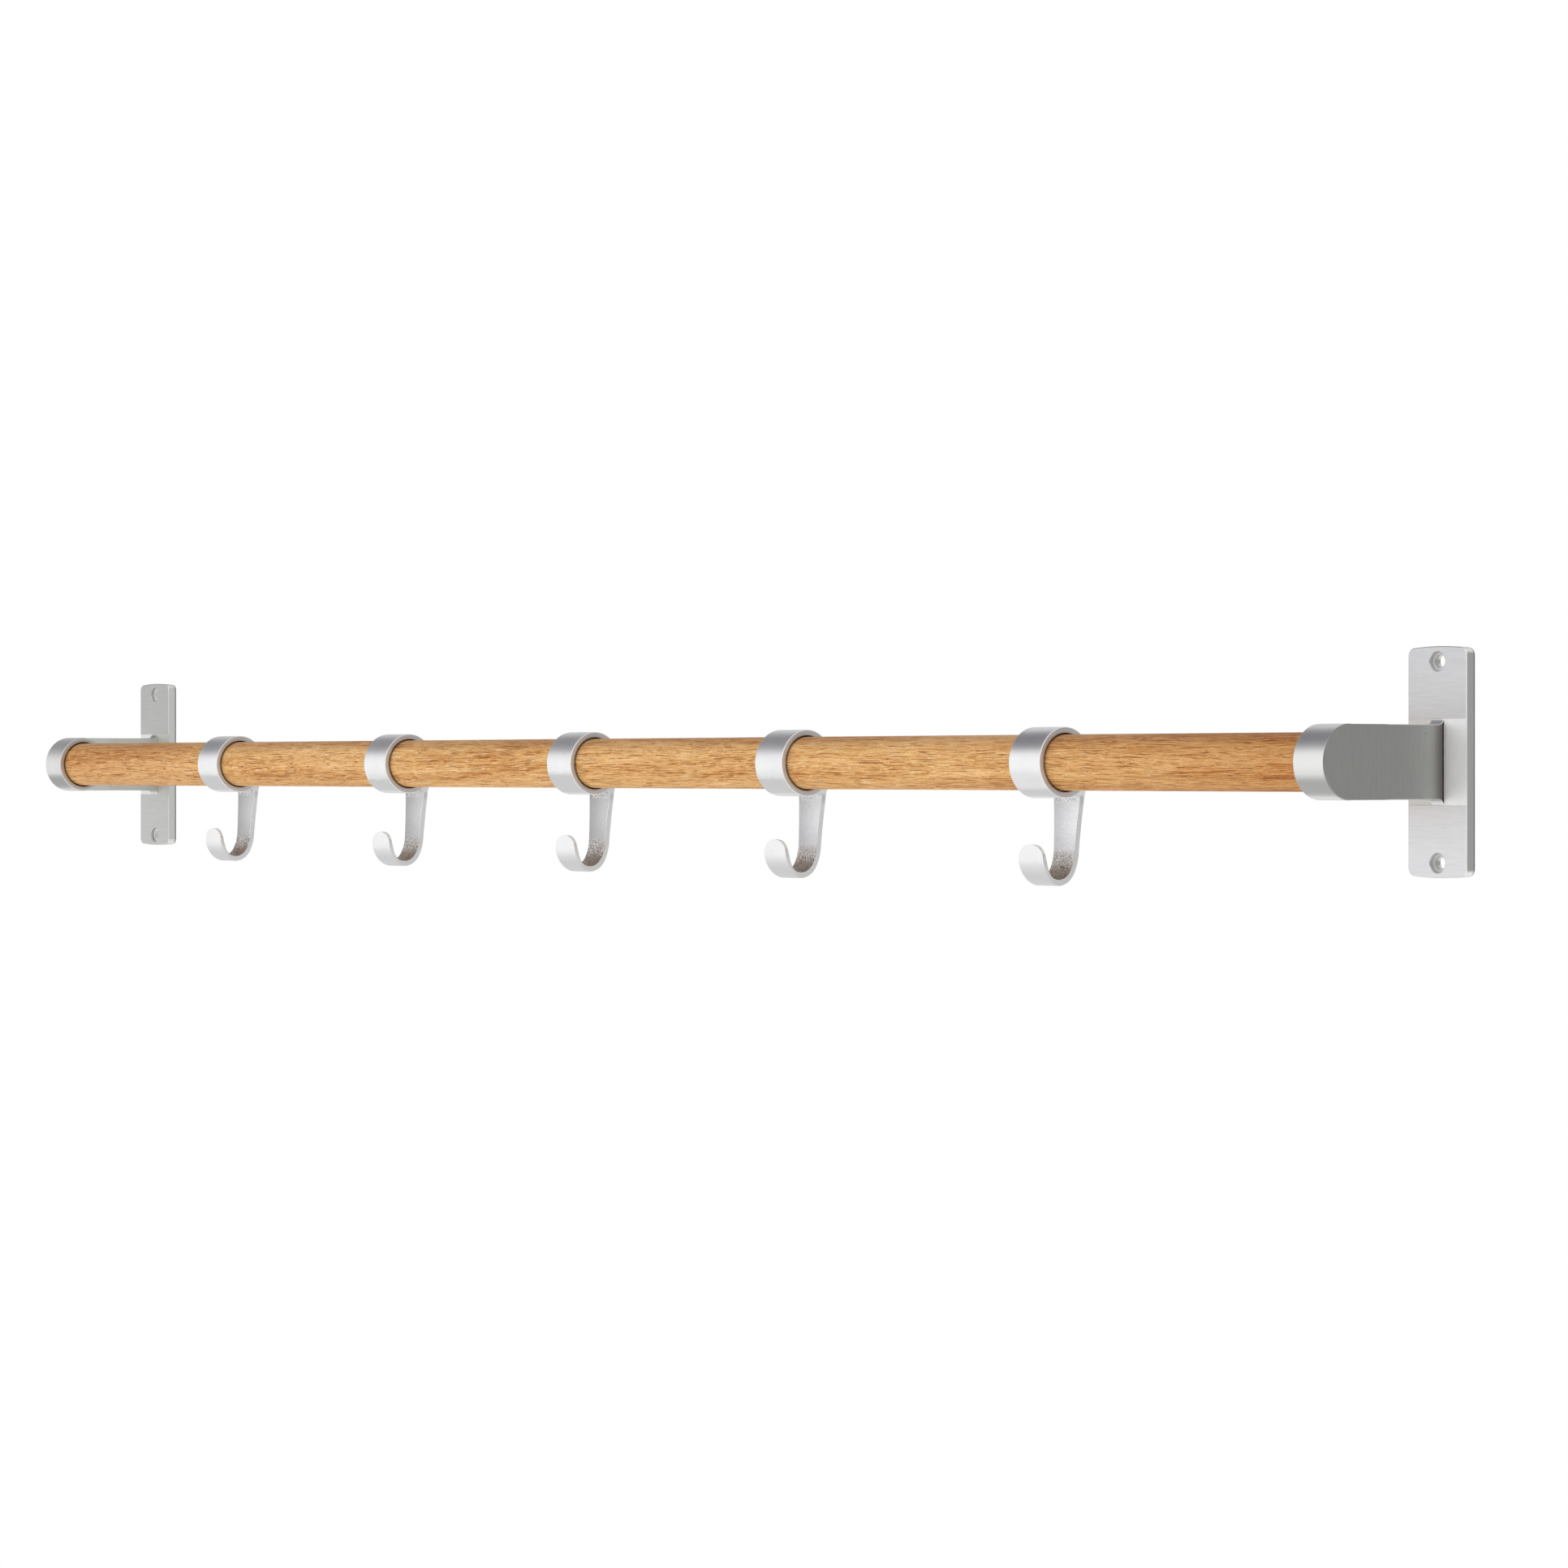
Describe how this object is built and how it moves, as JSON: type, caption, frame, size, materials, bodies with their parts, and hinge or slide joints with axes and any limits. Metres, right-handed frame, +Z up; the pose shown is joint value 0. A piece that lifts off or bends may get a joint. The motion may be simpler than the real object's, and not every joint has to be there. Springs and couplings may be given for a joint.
{
  "type": "hook rail",
  "caption": "Wall-hung hook rail: a round oak dowel between cast aluminium wall brackets, with cast ring hooks that slide along it.",
  "frame": {"origin": "on the wall plane, midway between the brackets and level with the dowel's axis", "axes": "+X along the dowel, +Y into the wall, +Z up"},
  "size_m": [1.069, 0.0789, 0.1041],
  "materials": {
    "oak": "oiled oak, satin",
    "bracket_aluminium": "cast, milled faces, fine brushing",
    "hook_aluminium": "cast, tumbled smooth outside, rougher inside the bend"
  },
  "bodies": {
    "rail_frame": {"rail": "oak", "left_bracket": "bracket_aluminium", "right_bracket": "bracket_aluminium"},
    "hook_1": {"hook_1": "hook_aluminium"},
    "hook_2": {"hook_2": "hook_aluminium"},
    "hook_3": {"hook_3": "hook_aluminium"},
    "hook_4": {"hook_4": "hook_aluminium"},
    "hook_5": {"hook_5": "hook_aluminium"}
  },
  "joints": [
    {"name": "hook_1_slide", "type": "slide", "parent": "rail_frame", "child": "hook_1", "axis": [1, 0, 0], "range_m": [-0.1533, 0.0738]},
    {"name": "hook_2_slide", "type": "slide", "parent": "rail_frame", "child": "hook_2", "axis": [1, 0, 0], "range_m": [-0.0738, 0.0723]},
    {"name": "hook_3_slide", "type": "slide", "parent": "rail_frame", "child": "hook_3", "axis": [1, 0, 0], "range_m": [-0.0723, 0.0733]},
    {"name": "hook_4_slide", "type": "slide", "parent": "rail_frame", "child": "hook_4", "axis": [1, 0, 0], "range_m": [-0.0733, 0.079]},
    {"name": "hook_5_slide", "type": "slide", "parent": "rail_frame", "child": "hook_5", "axis": [1, 0, 0], "range_m": [-0.079, 0.1528]}
  ]
}
